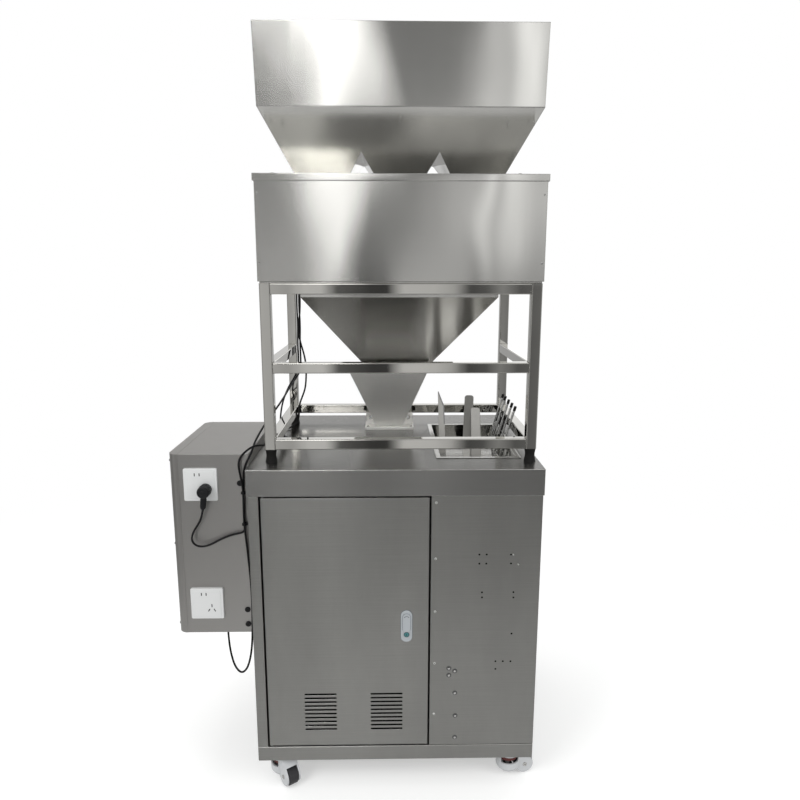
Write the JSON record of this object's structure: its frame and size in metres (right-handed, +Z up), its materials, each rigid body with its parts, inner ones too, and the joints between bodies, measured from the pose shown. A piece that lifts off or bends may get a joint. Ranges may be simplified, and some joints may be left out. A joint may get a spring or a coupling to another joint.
{
  "type": "linear weigher",
  "caption": "Linear weigher: divided feed hopper on a feeder housing, collecting cone and funnel in a tube frame, on a wheeled steel cabinet with a side electrical box.",
  "frame": {"origin": "on the floor, under the middle of the whole machine with its casters and electrical box, without the free cords", "axes": "+Z up, -Y towards the side with the door, +X to the right seen from there"},
  "size_m": [0.9736, 0.671, 1.971],
  "materials": {
    "stainless": "brushed satin",
    "polished_steel": "polished",
    "zinc_steel": "zinc plated",
    "black_rubber": "matt",
    "lock_grey": "satin",
    "rod_steel": "satin",
    "white_plastic": "satin",
    "black_plastic": "matt",
    "cord_black": "matt",
    "caster_grey": "powder coated",
    "caster_foot": "satin",
    "wheel_black": "satin"
  },
  "bodies": {
    "cabinet": {"cabinet_base": "stainless", "cabinet_left_side": "stainless", "cabinet_right_side": "stainless", "cabinet_back": "stainless", "centre_post": "stainless", "header": "stainless", "front_panel": "stainless", "countertop": "stainless", "hinge_pins": "zinc_steel", "frame_legs": "polished_steel", "frame_cross_rails": "polished_steel", "frame_side_rails": "polished_steel", "frame_feet": "black_rubber", "housing_base": "stainless", "feeder_housing": "stainless", "feeder_lid": "stainless", "hopper_band": "stainless", "hopper_taper": "stainless", "collecting_cone": "stainless", "lower_funnel": "stainless", "funnel_flange": "stainless", "tool_tray": "stainless", "tool_bars": "stainless", "tool_blade": "stainless", "tool_rods": "rod_steel", "electrical_box": "stainless", "box_cover": "stainless", "box_strips": "zinc_steel", "upper_socket": "white_plastic", "lower_socket": "white_plastic", "cable_glands": "black_plastic", "caster_plates": "zinc_steel", "plug": "black_plastic", "power_cord": "cord_black", "control_cord": "cord_black", "branch_cord": "cord_black", "cable_ties": "black_plastic"},
    "door": {"door_panel": "stainless", "door_lock": "lock_grey"},
    "swivel_front_left": {"caster_housing_front_left": "caster_grey", "caster_foot_front_left": "caster_foot"},
    "wheel_front_left": {"caster_wheel_front_left": "wheel_black"},
    "swivel_front_right": {"caster_housing_front_right": "caster_grey", "caster_foot_front_right": "caster_foot"},
    "wheel_front_right": {"caster_wheel_front_right": "wheel_black"},
    "swivel_back_left": {"caster_housing_back_left": "caster_grey", "caster_foot_back_left": "caster_foot"},
    "wheel_back_left": {"caster_wheel_back_left": "wheel_black"},
    "swivel_back_right": {"caster_housing_back_right": "caster_grey", "caster_foot_back_right": "caster_foot"},
    "wheel_back_right": {"caster_wheel_back_right": "wheel_black"}
  },
  "joints": [
    {"name": "door_hinge", "type": "hinge", "parent": "cabinet", "child": "door", "pos_m": [-0.23931, -0.31866, 0.5], "axis": [0, 0, -1], "range_deg": [0, 110]},
    {"name": "swivel_front_left_turn", "type": "hinge", "parent": "cabinet", "child": "swivel_front_left", "pos_m": [-0.22081, -0.26766, 0.1], "axis": [0, 0, 1], "continuous": true},
    {"name": "wheel_front_left_spin", "type": "hinge", "parent": "swivel_front_left", "child": "wheel_front_left", "pos_m": [-0.19557, -0.3037, 0.027], "axis": [0.8192, 0.5736, 0], "continuous": true},
    {"name": "swivel_front_right_turn", "type": "hinge", "parent": "cabinet", "child": "swivel_front_right", "pos_m": [0.41519, -0.26766, 0.1], "axis": [0, 0, 1], "continuous": true},
    {"name": "wheel_front_right_spin", "type": "hinge", "parent": "swivel_front_right", "child": "wheel_front_right", "pos_m": [0.45823, -0.25851, 0.027], "axis": [-0.2079, 0.9781, 0], "continuous": true},
    {"name": "swivel_back_left_turn", "type": "hinge", "parent": "cabinet", "child": "swivel_back_left", "pos_m": [-0.22081, 0.26434, 0.1], "axis": [0, 0, 1], "continuous": true},
    {"name": "wheel_back_left_spin", "type": "hinge", "parent": "swivel_back_left", "child": "wheel_back_left", "pos_m": [-0.25891, 0.28634, 0.027], "axis": [-0.5, -0.866, 0], "continuous": true},
    {"name": "swivel_back_right_turn", "type": "hinge", "parent": "cabinet", "child": "swivel_back_right", "pos_m": [0.41519, 0.26434, 0.1], "axis": [0, 0, 1], "continuous": true},
    {"name": "wheel_back_right_spin", "type": "hinge", "parent": "swivel_back_right", "child": "wheel_back_right", "pos_m": [0.43167, 0.30513, 0.027], "axis": [-0.9272, 0.3746, 0], "continuous": true}
  ]
}
